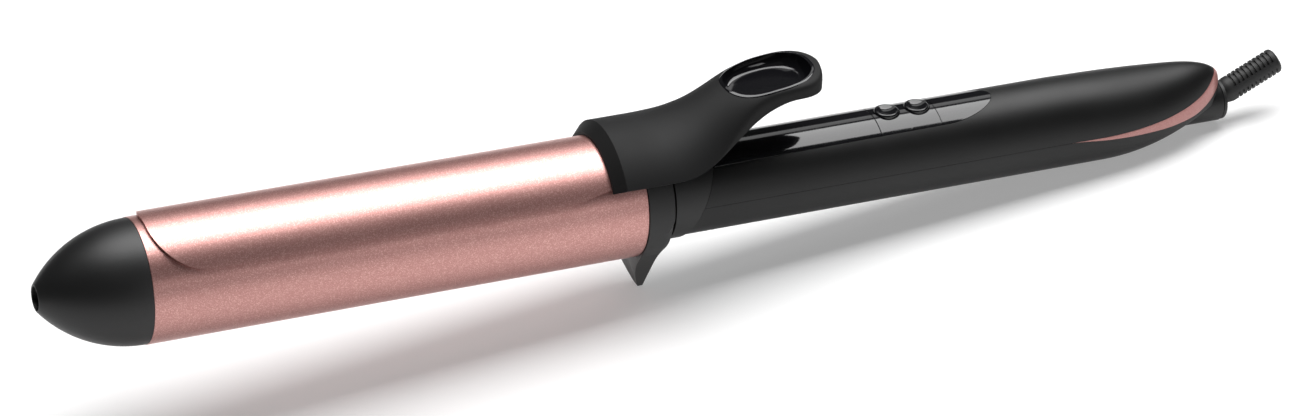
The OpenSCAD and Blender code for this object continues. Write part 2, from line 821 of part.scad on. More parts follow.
module suppression_capacitor() {
    color([0.85, 0.75, 0.25]) block(258, 275, -6, 4, board_z - 7.5, board_z - seat);
}

// Triac that switches the heater, flat under the board
module triac() {
    color([0.25, 0.25, 0.27]) block(214, 229, -5, 5, board_z - 4.5, board_z - seat);
}

// Ring choke against mains noise, standing under the board
module choke_coil() {
    color([0.75, 0.45, 0.25]) tube_x(6.3, 2.4, 289, 298, -4.3);
}

module mains_leads() {
    color([0.35, 0.2, 0.15]) for (s = [-1, 1]) rod_x(0.8, board_x1 + 0.2, 326, s * 3.4, 1.7);
}

ring_x = [326.4, 329.9];
ring_w = 2;
ring_r = 4.2;

// Brush on one slip ring, with a strip that runs forward beside the rings to its lead
module contact_brush(i, side) {
    x0 = ring_x[i] + 0.2;
    x1 = ring_x[i] + ring_w - 0.2;
    ring_top = ring_r - swivel_drop;
    scale([1, side, 1]) {
        block(x0, x1, -1, 1, ring_top + 0.1, ring_top + 1.4);
        block(x0, x1, 0, 4, ring_top + 0.5, ring_top + 1.4);
        block(ring_x[0] - 0.2, x1, 1.5, 4, ring_top + 0.5, ring_top + 1.4);
    }
}

module contact_brushes() {
    color(brass) {
        contact_brush(0, -1);
        contact_brush(1, 1);
    }
}

// ---------------------------------------------------------------- cord swivel

ball_r = 4.2;
hub_r = 3.4;
wire_bore = 1.6;
cup_r = 5.8;
lip_r = 6.3;

// Turning core of the swivel: hub for the slip rings, retaining flange, journal and a flared cup
module swivel_rotor() {
    z = -swivel_drop;
    color(body_black) difference() {
        union() {
            rod_x(hub_r, 324.8, 334, 0, z);
            rod_x(lip_r, 333.2, chamber_x1 - 0.15, 0, z);
            rod_x(journal_r, chamber_x1 - 1, handle_end + 0.3, 0, z);
            rod_x(lip_r, handle_end + 0.2, swivel_end, 0, z);
        }
        rod_x(wire_bore, 320, tilt_x, 0, z);
        translate([tilt_x, 0, z]) sphere(r = ball_r + run);
        turned([[0, tilt_x], [ball_r + 0.1, tilt_x], [cup_r, swivel_end], [cup_r, 400], [0, 400]], z);
        rod_y(0.75, -10, 10, tilt_x, z);
    }
}

module slip_rings() {
    color(brass) for (x = ring_x) tube_x(ring_r, hub_r + 0.03, x, x + ring_w, -swivel_drop);
}

// Moves what is drawn along X from the tilt joint to the strain relief's place
module at_relief() {
    translate([tilt_x, 0, -swivel_drop]) rotate([0, -relief_angle, 0]) children();
}

// Ball, slim root and round body of the strain relief, bored for the cord
module strain_relief() {
    root_r = 3.5;
    end_round = 1.4;
    arc = [for (i = [0:6]) let(a = 15 * i)
        [relief_r - end_round + end_round * cos(a), relief_l - end_round + end_round * sin(a)]];
    color(body_black) at_relief() difference() {
        union() {
            intersection() {
                sphere(r = ball_r);
                rod_x(10, -2.6, 10);
            }
            turned(concat([[0, 1], [root_r, 1], [root_r, 3.8], [relief_r, 6.8]], arc, [[0, relief_l]]));
        }
        rod_x(flex_r, -10, relief_l + 5);
        for (s = [-1, 1]) rod_y(0.72, s > 0 ? 3 : -6, s > 0 ? 6 : -3, 0, 0);
    }
}

module tilt_pins() {
    color(steel) for (s = [-1, 1]) rod_y(0.7, s > 0 ? 3.2 : -5.2, s > 0 ? 5.2 : -3.2, tilt_x, -swivel_drop);
}

stand() barrel_tube();
stand() cool_tip();
stand() tip_screw();
stand() tip_bracket();
stand() ptc_heater();
stand() upper_spreader();
stand() lower_spreader();
stand() spreader_springs();
stand() temperature_sensor();
stand() thermal_fuse();
stand() insulating_disc();
stand() heater_leads();
stand() heat_collar();
stand() neck_housing();
stand() hinge_pin();
stand() clamp_spring();
stand() clamp_plate();
stand() clamp_bracket();
stand() plate_rivets();
stand() lever_shell();
stand() thumb_dish();
stand() lever_screws();
stand() upper_casing();
stand() lower_casing();
stand() accent_trim();
stand() casing_screws();
stand() front_panel();
stand() button_plate();
stand() rear_panel();
stand() power_button();
stand() heat_button();
stand() circuit_board();
stand() board_screws();
stand() tact_switches();
stand() indicator_leds();
stand() suppression_capacitor();
stand() choke_coil();
stand() triac();
stand() mains_leads();
stand() contact_brushes();
stand() swivel_rotor();
stand() slip_rings();
stand() strain_relief();
stand() tilt_pins();
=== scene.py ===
"""Looks of a curling iron with a spring clamp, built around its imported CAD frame.

Each section makes one piece, or one group of like pieces, from the tip to the cord. Shapes are worked
out in mm on the iron's own axes: x along the barrel from the tip's seam, y away from the near side and z
toward the lever. They are turned into the row frame, in metres, as each mesh is made.
"""
import json
import math

import bmesh
import bpy
import numpy as np
from mathutils import Matrix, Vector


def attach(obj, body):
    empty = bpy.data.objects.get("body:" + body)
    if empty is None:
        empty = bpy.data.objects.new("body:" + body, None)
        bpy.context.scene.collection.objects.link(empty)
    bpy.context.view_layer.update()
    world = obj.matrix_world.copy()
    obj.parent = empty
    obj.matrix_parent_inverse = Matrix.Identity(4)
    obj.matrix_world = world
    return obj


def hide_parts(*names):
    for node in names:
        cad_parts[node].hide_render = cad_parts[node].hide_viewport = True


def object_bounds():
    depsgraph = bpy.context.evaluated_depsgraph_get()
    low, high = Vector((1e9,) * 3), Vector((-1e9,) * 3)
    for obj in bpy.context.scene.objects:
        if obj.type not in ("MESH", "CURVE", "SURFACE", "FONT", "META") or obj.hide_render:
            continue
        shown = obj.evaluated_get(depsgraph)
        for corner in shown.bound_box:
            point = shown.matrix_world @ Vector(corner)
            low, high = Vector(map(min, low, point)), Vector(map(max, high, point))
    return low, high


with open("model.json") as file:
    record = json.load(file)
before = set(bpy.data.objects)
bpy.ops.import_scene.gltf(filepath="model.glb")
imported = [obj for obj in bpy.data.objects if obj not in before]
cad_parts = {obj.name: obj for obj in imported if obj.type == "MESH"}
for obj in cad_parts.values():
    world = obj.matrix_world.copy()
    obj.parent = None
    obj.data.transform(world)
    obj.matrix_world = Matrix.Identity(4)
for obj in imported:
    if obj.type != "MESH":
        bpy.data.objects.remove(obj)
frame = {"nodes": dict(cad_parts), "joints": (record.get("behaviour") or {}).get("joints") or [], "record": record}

cad_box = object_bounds()

# ---------------------------------------------------------------- barrel
# The heated barrel is a drawn aluminium tube with a baked satin coat full of fine metal flakes. It is
# pushed over the tip's spigot at one end and over the collar's at the other.

joints = {joint["name"]: joint for joint in frame["joints"]}
along = np.array(joints["cord_turn"]["axis"])
upward = np.array([-along[2], 0, along[0]])
hinge_x, hinge_z = 168.0, 14.5
hinge_at = np.array(joints["clamp_hinge"]["pos_m"])
MM = 0.001


def to_row(points):
    """Iron axes to row frame: the hinge's place, plus x and z along the iron's two leaning directions."""
    x, y, z = np.moveaxis(np.asarray(points, float), -1, 0)
    lean = (x - hinge_x)[..., None] * along + (z - hinge_z)[..., None] * upward
    lean[..., 1] += y
    return hinge_at + MM * lean


def make_piece(name, points, faces, material, body, nodes, sharp=35, bevel=0.0):
    """Mesh of iron-axis points and faces: doubles merged, faces turned outward, edges over `sharp` kept."""
    mesh = bpy.data.meshes.new(name)
    mesh.from_pydata(to_row(points).tolist(), [], [face.tolist() for face in faces])
    build = bmesh.new()
    build.from_mesh(mesh)
    bmesh.ops.remove_doubles(build, verts=build.verts, dist=2e-6)
    bmesh.ops.dissolve_degenerate(build, edges=build.edges, dist=1e-7)
    bmesh.ops.recalc_face_normals(build, faces=build.faces)
    build.to_mesh(mesh)
    build.free()
    mesh.shade_smooth()
    mesh.set_sharp_from_angle(angle=math.radians(sharp))
    mesh.materials.append(material)
    piece = bpy.data.objects.new(name, mesh)
    bpy.context.scene.collection.objects.link(piece)
    if bevel:
        rounding = piece.modifiers.new("rounded edges", "BEVEL")
        rounding.width = bevel * MM
        rounding.segments = 3
        rounding.limit_method = "ANGLE"
        rounding.angle_limit = math.radians(40)
        rounding.harden_normals = True
    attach(piece, body)
    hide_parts(*nodes)


def loop_faces(rows, cols):
    """Quads of a grid that closes on itself both ways, like the skin of a ring."""
    ids = np.arange(rows * cols).reshape(rows, cols)
    beside, below, across = np.roll(ids, -1, 1), np.roll(ids, -1, 0), np.roll(ids, (-1, -1), (0, 1))
    return np.stack([ids, beside, across, below], -1).reshape(-1, 4)


def turned(profile, centre_z=0.0, sides=192):
    """Points and faces of a profile of (x, radius) points carried round the line y = 0, z = centre_z."""
    profile = np.asarray(profile, float)
    angle = np.linspace(0, 2 * np.pi, sides, endpoint=False)
    x = np.repeat(profile[:, :1], sides, 1)
    y = profile[:, 1:] * np.sin(angle)
    z = centre_z + profile[:, 1:] * np.cos(angle)
    return np.stack([x, y, z], -1).reshape(-1, 3), loop_faces(len(profile), sides)


def noise_height(group, vector, scale, detail):
    """Noise node of a group, on the vector given."""
    noise = group.nodes.new("ShaderNodeTexNoise")
    noise.inputs["Scale"].default_value = scale
    noise.inputs["Detail"].default_value = detail
    group.links.new(vector, noise.inputs["Vector"])
    return noise.outputs["Fac"]


def new_group(name, inputs):
    """Empty finish group. It takes a vector and the given (name, kind, default) sockets, and puts out a
    colour, a roughness and a normal."""
    group = bpy.data.node_groups.new(name, "ShaderNodeTree")
    group.interface.new_socket("Vector", in_out="INPUT", socket_type="NodeSocketVector")
    for label, kind, value in inputs:
        group.interface.new_socket(label, in_out="INPUT", socket_type=kind).default_value = value
    for label, kind in (("Color", "NodeSocketColor"), ("Roughness", "NodeSocketFloat"),
                        ("Normal", "NodeSocketVector")):
        group.interface.new_socket(label, in_out="OUTPUT", socket_type=kind)
    return group, group.nodes.new("NodeGroupInput"), group.nodes.new("NodeGroupOutput")


def new_finish(name, metallic, coat=0.0, coat_roughness=0.1, specular=0.5):
    """Material with a Principled shader whose constant values are set on its own sockets."""
    material = bpy.data.materials.new(name)
    material.use_nodes = True
    shader = material.node_tree.nodes["Principled BSDF"]
    shader.inputs["Metallic"].default_value = metallic
    shader.inputs["Coat Weight"].default_value = coat
    shader.inputs["Coat Roughness"].default_value = coat_roughness
    shader.inputs["Specular IOR Level"].default_value = specular
    return material, material.node_tree, shader


def add_group(tree, shader, group, values):
    """Group placed in a material: its colour, roughness and normal go to the shader."""
    node = tree.nodes.new("ShaderNodeGroup")
    node.node_tree = group
    where = tree.nodes.new("ShaderNodeTexCoord")
    tree.links.new(where.outputs["Object"], node.inputs["Vector"])
    for label, value in values.items():
        node.inputs[label].default_value = value
    tree.links.new(node.outputs["Color"], shader.inputs["Base Color"])
    tree.links.new(node.outputs["Roughness"], shader.inputs["Roughness"])
    tree.links.new(node.outputs["Normal"], shader.inputs["Normal"])


def mapped(group, value, low, high):
    """Map Range node from 0..1 to low..high."""
    node = group.nodes.new("ShaderNodeMapRange")
    group.links.new(value, node.inputs["Value"])
    node.inputs["To Min"].default_value = low
    node.inputs["To Max"].default_value = high
    return node.outputs["Result"]


def finish_group(group, start, end, tints, tint_by, rough_by, rough_span, height, depth):
    """What every finish group ends in: its two tints mixed by one mask, its roughness scaled by another
    between two shares, and a bump of the given depth, in metres."""
    tint = group.nodes.new("ShaderNodeMix")
    tint.data_type = "RGBA"
    group.links.new(tint_by, tint.inputs["Factor"])
    group.links.new(start.outputs[tints[0]], tint.inputs["A"])
    group.links.new(start.outputs[tints[1]], tint.inputs["B"])
    group.links.new(tint.outputs["Result"], end.inputs["Color"])
    rough = group.nodes.new("ShaderNodeMath")
    rough.operation = "MULTIPLY"
    group.links.new(start.outputs["Roughness"], rough.inputs[0])
    group.links.new(mapped(group, rough_by, *rough_span), rough.inputs[1])
    group.links.new(rough.outputs[0], end.inputs["Roughness"])
    bump = group.nodes.new("ShaderNodeBump")
    bump.inputs["Distance"].default_value = depth
    group.links.new(start.outputs["Bump"], bump.inputs["Strength"])
    group.links.new(height, bump.inputs["Height"])
    group.links.new(bump.outputs["Normal"], end.inputs["Normal"])


def make_flake_group():
    """Coat with metal flakes: each cell of a fine Voronoi tints the coat and tips its normal a little."""
    group, start, end = new_group(
        "metal flakes",
        [("Base", "NodeSocketColor", (0.8, 0.5, 0.45, 1)), ("Glint", "NodeSocketColor", (1, 0.8, 0.7, 1)),
         ("Scale", "NodeSocketFloat", 3000.0), ("Roughness", "NodeSocketFloat", 0.35),
         ("Bump", "NodeSocketFloat", 0.1)])
    cells = group.nodes.new("ShaderNodeTexVoronoi")
    group.links.new(start.outputs["Vector"], cells.inputs["Vector"])
    group.links.new(start.outputs["Scale"], cells.inputs["Scale"])
    grey = group.nodes.new("ShaderNodeSeparateColor")
    group.links.new(cells.outputs["Color"], grey.inputs["Color"])
    bright = group.nodes.new("ShaderNodeMath")
    bright.operation = "POWER"
    bright.inputs[1].default_value = 3.0
    group.links.new(grey.outputs["Red"], bright.inputs[0])
    cloud = noise_height(group, start.outputs["Vector"], 40.0, 2.0)
    finish_group(group, start, end, ("Base", "Glint"), bright.outputs[0], cloud, (0.9, 1.1),
                 grey.outputs["Green"], 0.00005)
    return group


flakes = make_flake_group()
rose_coat, tree, shader = new_finish("rose_gold_coat", 0.85, coat=0.12, coat_roughness=0.35)
add_group(tree, shader, flakes, {"Base": (0.50, 0.245, 0.225, 1), "Glint": (0.72, 0.43, 0.39, 1),
                                 "Scale": 4400.0, "Roughness": 0.36, "Bump": 0.22})

barrel_r, barrel_start, barrel_end, barrel_wall, rim = 19.0, 0.05, 155.2, 0.7, 0.12
barrel_in = barrel_r - barrel_wall
points, faces = turned([(barrel_start + rim, barrel_r), (barrel_end - rim, barrel_r),
                        (barrel_end, barrel_r - rim), (barrel_end, barrel_in + rim),
                        (barrel_end - rim, barrel_in), (barrel_start + rim, barrel_in),
                        (barrel_start, barrel_in + rim), (barrel_start, barrel_r - rim)], sides=288)
make_piece("barrel", points, faces, rose_coat, "root", ["barrel_tube"])

# ---------------------------------------------------------------- cool tip
# The tip stays cool enough to hold. It is moulded in heat-proof plastic with a fine matt grain, its
# spigot sits in the barrel, and one screw down its nose pulls it against a steel bracket.


def make_grain_group():
    """Moulded plastic: fine grain for the normal, and broad soft patches for colour and roughness."""
    group, start, end = new_group(
        "moulded grain",
        [("Base", "NodeSocketColor", (0.03, 0.03, 0.03, 1)),
         ("Worn", "NodeSocketColor", (0.05, 0.05, 0.05, 1)), ("Scale", "NodeSocketFloat", 4000.0),
         ("Roughness", "NodeSocketFloat", 0.5), ("Bump", "NodeSocketFloat", 0.2)])
    grain = group.nodes.new("ShaderNodeTexNoise")
    grain.inputs["Detail"].default_value = 3.0
    group.links.new(start.outputs["Vector"], grain.inputs["Vector"])
    group.links.new(start.outputs["Scale"], grain.inputs["Scale"])
    patches = noise_height(group, start.outputs["Vector"], 55.0, 3.0)
    finish_group(group, start, end, ("Base", "Worn"), patches, patches, (0.88, 1.12), grain.outputs["Fac"],
                 0.00004)
    return group


grain = make_grain_group()


def new_plastic(name, base, worn, roughness, bump, scale=3500.0, **shader_values):
    """Moulded plastic or rubber: grain group with its own colours, roughness and depth."""
    material, tree, shader = new_finish(name, 0.0, **shader_values)
    add_group(tree, shader, grain, {"Base": (*base, 1), "Worn": (*worn, 1), "Scale": scale,
                                    "Roughness": roughness, "Bump": bump})
    return material


tip_black = new_plastic("tip_black", (0.006, 0.006, 0.0062), (0.009, 0.009, 0.0093), 0.46, 0.35)

tip_l, tip_arc_r, tip_skin, tip_step = 30.6, 38.5, 1.6, 0.15
spigot_l, spigot_in, spigot_play, hollow_min_r, nose_floor = 7.0, 2.2, 0.05, 2.4, 2.5
tip_hole_r, screw_x, screw_clear = 3.6, -24.0, 1.8


def tip_radius(x):
    """Side of the nose: an arc that leaves the barrel level, a small step below the barrel's skin."""
    return barrel_r - tip_step - tip_arc_r + np.sqrt(tip_arc_r ** 2 - x ** 2)


nose_end_x, edge_r = -tip_l + 0.35, 0.45
nose_x = np.linspace(0, 1, 72) ** 0.85 * nose_end_x
nose = np.stack([nose_x, tip_radius(nose_x)], -1)
slope_turn = math.asin(-nose_end_x / tip_arc_r)
edge_turn = np.linspace(slope_turn, np.pi / 2, 6)[1:]
edge = np.stack([nose_end_x - edge_r * (np.sin(edge_turn) - math.sin(slope_turn)),
                 nose[-1, 1] + edge_r * (np.cos(edge_turn) - math.cos(slope_turn))], -1)
lip_r = edge[-1, 1] - tip_hole_r
lip_turn = np.linspace(0, np.pi / 2, 6)[1:]
lip = np.stack([edge[-1, 0] + lip_r * (1 - np.cos(lip_turn)), edge[-1, 1] - lip_r * np.sin(lip_turn)], -1)
hollow_x = np.linspace(screw_x + nose_floor, 0, 24)
hollow = np.stack([hollow_x, np.maximum(tip_radius(hollow_x) - tip_skin, hollow_min_r)], -1)
screw_hole = [(screw_x, tip_hole_r), (screw_x, screw_clear), (screw_x + nose_floor, screw_clear)]
spigot = [(0, barrel_in - spigot_in), (spigot_l, barrel_in - spigot_in),
          (spigot_l, barrel_in - spigot_play), (0, barrel_in - spigot_play)]
profile = np.concatenate([nose, edge, lip, screw_hole, hollow, spigot])
points, faces = turned(profile)
make_piece("cool_tip_shell", points, faces, tip_black, "root", ["cool_tip"])

# ---------------------------------------------------------------- clamp plate
# The clamp's plate is thin aluminium sheet rolled to the barrel's curve and coated like the barrel. Its
# front corners are rounded off, and three rivets under the lever hold it to a steel strap.


def thick_sheet(outer, inner, keep=None, ring=False):
    """Wall between two grids of points: quads on both for every kept cell, and a quad between them along
    each edge that has a kept cell on one side only. Returns points and faces."""
    rows, cols = outer.shape[:2]
    count = rows * cols
    ids = np.arange(count).reshape(rows, cols)
    left = ids if ring else ids[:, :-1]
    right = np.roll(ids, -1, 1) if ring else ids[:, 1:]
    if keep is None:
        keep = np.ones((rows - 1, left.shape[1]), bool)
    cells = np.stack([left[:-1], right[:-1], right[1:], left[1:]], -1)[keep]
    padded = np.pad(keep, ((1, 1), (0, 0)))
    across = padded[:-1] != padded[1:]
    walls = [np.stack([left[across], right[across], right[across] + count, left[across] + count], -1)]
    if ring:
        beside = keep != np.roll(keep, 1, 1)
    else:
        padded = np.pad(keep, ((0, 0), (1, 1)))
        beside = padded[:, :-1] != padded[:, 1:]
    low, high = ids[:-1][beside], ids[1:][beside]
    walls.append(np.stack([low, high, high + count, low + count], -1))
    points = np.concatenate([outer.reshape(-1, 3), inner.reshape(-1, 3)])
    return points, np.concatenate([cells, cells[:, ::-1] + count, *walls])


def ease(a, b, x):
    """Step from 0 to 1 between a and b that starts and ends level: 3t^2 - 2t^3."""
    t = np.clip((x - a) / (b - a), 0, 1)
    return t * t * (3 - 2 * t)


def mix(a, b, t):
    """Straight mix of a and b."""
    return a + (b - a) * t


def on_cylinder(r, x, angle, centre_z=0.0):
    """Points at radius r about the line z = centre_z, angle measured from the lever's side."""
    return np.stack([x, r * np.sin(angle), centre_z + r * np.cos(angle)], -1)


plate_in, plate_out = 19.3, 20.04
plate_x0, plate_x1, corner_l, narrow_x0, narrow_x1 = 2.5, 154.8, 17.0, 129, 145
front_half, plate_half, rear_half = np.radians([10, 59.5, 52.5])
corner_turn = np.linspace(0, np.pi / 2, 40)
plate_x = np.concatenate([plate_x0 + corner_l * (1 - np.cos(corner_turn)),
                          np.linspace(plate_x0 + corner_l, plate_x1, 90)[1:]])
half = np.full(len(plate_x), plate_half)
half[:len(corner_turn)] = mix(front_half, plate_half, np.sin(corner_turn))
half -= (plate_half - rear_half) * ease(narrow_x0, narrow_x1, plate_x)
angle = half[:, None] * np.linspace(-1, 1, 65)
grid_x = np.repeat(plate_x[:, None], 65, 1)
points, faces = thick_sheet(on_cylinder(plate_out, grid_x, angle), on_cylinder(plate_in, grid_x, angle))
make_piece("clamp_sheet", points, faces, rose_coat, "clamp", ["clamp_plate"], bevel=0.2)

# ---------------------------------------------------------------- collar and foot
# A ring of heat-proof plastic closes the barrel. It is moulded in one with a thin pointed foot, which
# keeps the hot barrel off the table, and its spigot is pushed into the barrel.

stand_black = new_plastic("stand_black", (0.007, 0.007, 0.0072), (0.010, 0.010, 0.0103), 0.5, 0.3)

collar_x, collar_end, collar_r = 155.25, 163.45, 19.5
face_r, collar_bore, collar_spigot_bore, collar_lap = 18.4, 9.9, 16.1, 0.05
foot_x, foot_reach, foot_half_w, foot_half_l, foot_back = 160.7, 32.4, 1.6, 0.8, 160.9
tangent = math.acos(collar_r / foot_reach)


def foot_radius(angle):
    """Outline along the barrel: a circle, and below it the two straight flanks that touch it and run to
    the foot's flat point. Angle is measured from straight down."""
    angle = np.abs(angle)
    start = np.array([collar_r * np.sin(tangent), collar_r * np.cos(tangent)])
    tip = np.array([foot_half_w, foot_reach])
    side = tip - start
    cross = start[0] * side[1] - start[1] * side[0]
    facing = np.sin(angle) * side[1] - np.cos(angle) * side[0]
    flank = cross / np.where(angle < tangent, facing, cross / collar_r)
    level = foot_reach / np.maximum(np.cos(angle), 0.1)
    return np.where(angle < tangent, np.minimum(flank, level), collar_r)


tip_half = math.atan2(foot_half_w, foot_reach)
turn = np.concatenate([np.linspace(0, tip_half, 5), np.linspace(tip_half, tangent, 40)[1:],
                       np.linspace(tangent, np.pi, 90)[1:]])
turn = np.concatenate([-turn[::-1], turn[1:-1]])
outline_r = foot_radius(turn)
depth = outline_r * np.cos(turn)
slope = np.clip((depth - face_r) / (foot_reach - face_r), 0, 1)
lean_tan = -along[2] / along[0]
front_x = mix(collar_x, foot_x - foot_half_l, slope ** 1.5)
back_x = mix(collar_end, foot_back, ease(-1, 7, depth)) + (foot_x + foot_half_l - foot_back) * slope


def collar_ring(x, r):
    """Ring about the barrel's axis at x and radius r, each a number or one value for every turn."""
    return np.stack([np.broadcast_to(x, turn.shape), r * np.sin(turn), -r * np.cos(turn)], -1)


rings = [collar_ring(x, r) for x, r in (
    (collar_x - spigot_l, collar_spigot_bore), (collar_x - spigot_l, barrel_in - spigot_play),
    (collar_x, barrel_in - spigot_play), (collar_x, face_r), (front_x, outline_r), (back_x, outline_r),
    (collar_end, face_r), (collar_end, collar_bore), (collar_x - collar_lap, collar_bore),
    (collar_x - collar_lap, collar_spigot_bore))]
points = np.concatenate(rings)
level_z = -foot_reach + (points[:, 0] - foot_x) * lean_tan
points[:, 2] = np.maximum(points[:, 2], level_z)
make_piece("collar_and_foot", points, loop_faces(len(rings), len(turn)), stand_black, "root",
           ["heat_collar"], sharp=30, bevel=0.45)


def refinish(node, material):
    """Gives a node that keeps its CAD shape a new material."""
    materials = frame["nodes"][node].data.materials
    materials.clear()
    materials.append(material)


refinish("neck_housing", stand_black)

# ---------------------------------------------------------------- lever
# The thumb lever is moulded in plastic with a soft-touch skin. It saddles the end of the barrel, is held
# to the steel strap by two screws from below, and narrows behind the hinge to a flat tail.

lever_black = new_plastic("soft_touch_lever", (0.0035, 0.0035, 0.0037), (0.006, 0.006, 0.0062), 0.66, 0.4,
                          specular=0.28)

lever_r, lever_in, lever_half = 24.3, 20.2, math.radians(56)
lever_x0, lever_x1, bevel_l, bevel_h = 143.9, 216.7, 3.3, 3.2
tail_w, tail_blunt_x, tail_power, tail_arc_x, tail_arc_r = 12.1, 205.0, 2.7, 225.0, 250.0
lever_top, tail_low, tail_under, tail_wall, tail_low_wall = 35.9, 30.2, 27.4, 1.4, 0.4
waist, climb_span, under_span = (163, 197), (160, 192), (160, 188)
edge_span, flat_span = (168, 206), (175, 200)
bevel_side, bevel_low, flat_power, flat_root = 0.83, 0.56, 3.6, 0.17
dish_x0, dish_x1, dish_mid, dish_w, dish_power = 185.6, 214.6, 200.5, 11.1, 2.353
dish_deep, dish_curve, dish_skin, dish_gap, dish_bond = 4.6, 18.0, 1.0, 0.06, 0.15


def front_bevel(x):
    """Depth of the chamfer round the lever's front."""
    return bevel_h * np.clip((lever_x0 + bevel_l - x) / bevel_l, 0, 1)


def tail_round(x):
    """Narrowing of the tail's end, which is a blunt superellipse."""
    t = np.clip((x - tail_blunt_x) / (lever_x1 - tail_blunt_x), 0, 1)
    return np.maximum(1 - t ** tail_power, 0) ** (1 / tail_power)


def lever_width(x):
    """Half width: even over the barrel, then eased down to the tail, less the front chamfer."""
    even = mix(lever_r * math.sin(lever_half), tail_w, ease(*waist, x))
    return (even - bevel_side * front_bevel(x)) * tail_round(x)


def lever_crown(x):
    """Top line: level over the barrel, then a smooth climb to the long arc of the tail."""
    arc = lever_top - tail_arc_r + np.sqrt(tail_arc_r ** 2 - (x - tail_arc_x) ** 2)
    return mix(lever_r, arc, ease(*climb_span, x)) - front_bevel(x)


def lever_edge(x):
    """Height of the lower edge: even over the barrel, then eased up along the tail."""
    return mix(lever_r * math.cos(lever_half), tail_low, ease(*edge_span, x)) - bevel_low * front_bevel(x)


def round_arch(q):
    """Arc of a circle that falls from 1 at the middle to 0 at q = 1, the edge of the lever's angle."""
    tilt = np.arcsin(np.clip(q, 0, 1) * math.sin(lever_half))
    return (np.cos(tilt) - math.cos(lever_half)) / (1 - math.cos(lever_half))


def lever_top_z(x, q):
    """Height at the share q of the half width: a round arch that turns into a flat top with soft sides."""
    boxy = np.maximum(1 - np.clip(q, 0, 1) ** flat_power, 0) ** flat_root
    return mix(lever_edge(x), lever_crown(x), mix(round_arch(q), boxy, ease(*flat_span, x)))


def dish_along(x):
    """Share of the way from the dish's middle to its front or rear end, to the outline's power."""
    reach = np.where(x > dish_mid, dish_x1 - dish_mid, dish_mid - dish_x0)
    return np.abs((x - dish_mid) / reach) ** dish_power


def dish_share(x, y):
    """0 at the dish's middle and 1 on its outline, which is a superellipse."""
    return (dish_along(x) + np.abs(y / dish_w) ** dish_power) ** (1 / dish_power)


def dish_bowl(x, y):
    """Inside of the dish: a floor that follows the top line and turns up steeply at the rim."""
    share = np.clip(dish_share(x, y), 0, 1)
    rim_z = lever_top_z(x, np.abs(y) / np.maximum(lever_width(x), 1e-6))
    return mix(lever_crown(x) - dish_deep, rim_z, share ** dish_curve)


def mirrored(half):
    """Values of one side up to the middle, then the same back to front for the other side."""
    return np.concatenate([half, half[..., -2::-1]], -1)


climb = np.sin(np.linspace(0, np.pi / 2, 40))
round_off = np.sin(np.linspace(0, np.pi / 2, 36))
stations = np.unique(np.round(np.concatenate([
    np.linspace(lever_x0, lever_x0 + bevel_l, 8), np.linspace(lever_x0 + bevel_l, 185, 60),
    dish_mid - (dish_mid - dish_x0) * climb[::-1], dish_mid + (dish_x1 - dish_mid) * climb,
    tail_blunt_x + (lever_x1 - tail_blunt_x) * round_off]), 4))
dish_half = dish_w * np.maximum(1 - dish_along(stations), 0) ** (1 / dish_power)
dish_half += np.where(dish_half > 0, dish_gap, 0)
width = lever_width(stations)
seat_q = np.clip(dish_half / np.maximum(width, 1e-6), 0, 0.99)[:, None]
outside_cols, seat_cols = 30, 14
rise = np.sin(np.linspace(0, np.pi / 2, outside_cols)) ** 0.7
outside_q = 1 - (1 - seat_q) * (1 - rise[::-1])
inside_q = seat_q * (1 - np.linspace(0, 1, seat_cols) ** 1.8)
q = mirrored(np.concatenate([outside_q, inside_q], 1))
sunk = mirrored(np.arange(outside_cols + seat_cols) >= outside_cols)
side = np.where(np.arange(q.shape[1]) < outside_cols + seat_cols, -1, 1)
x = np.repeat(stations[:, None], q.shape[1], 1)
y = side * q * width[:, None]
top_z = lever_top_z(x, q)
seat_z = np.minimum(dish_bowl(x, y) - dish_skin - dish_bond, top_z)
outer = np.stack([x, y, np.where(sunk & (seat_q > 0), seat_z, top_z)], -1)
inner_w = mix(lever_in * math.sin(lever_half), tail_w - tail_wall, ease(*waist, stations))
inner_w *= tail_round(stations)
inner_low = mix(lever_in * math.cos(lever_half), tail_low - tail_low_wall, ease(*edge_span, stations))
inner_top = mix(lever_in, tail_under, ease(*under_span, stations))
inner = np.stack([x, side * q * inner_w[:, None],
                  mix(inner_low[:, None], inner_top[:, None], round_arch(q))], -1)
points, faces = thick_sheet(outer, inner)
make_piece("lever_saddle", points, faces, lever_black, "clamp", ["lever_shell"],
           sharp=38, bevel=0.3)

# ---------------------------------------------------------------- thumb dish
# A glossy oval cup moulded in black plastic marks where the thumb goes. It is bonded into a seat in the
# lever's tail, level with the skin around it.


def make_gloss_group():
    """Polished plastic: a faint waviness for the normal, and light smears for the roughness."""
    group, start, end = new_group(
        "polish",
        [("Base", "NodeSocketColor", (0.006, 0.006, 0.007, 1)),
         ("Deep", "NodeSocketColor", (0.004, 0.004, 0.005, 1)),
         ("Roughness", "NodeSocketFloat", 0.06), ("Bump", "NodeSocketFloat", 0.03)])
    smears = noise_height(group, start.outputs["Vector"], 120.0, 4.0)
    waves = noise_height(group, start.outputs["Vector"], 90.0, 1.0)
    finish_group(group, start, end, ("Base", "Deep"), smears, smears, (0.6, 1.5), waves, 0.0003)
    return group


polish = make_gloss_group()
gloss_black, tree, shader = new_finish("gloss_black", 0.0)
add_group(tree, shader, polish, {"Roughness": 0.09, "Bump": 0.03})

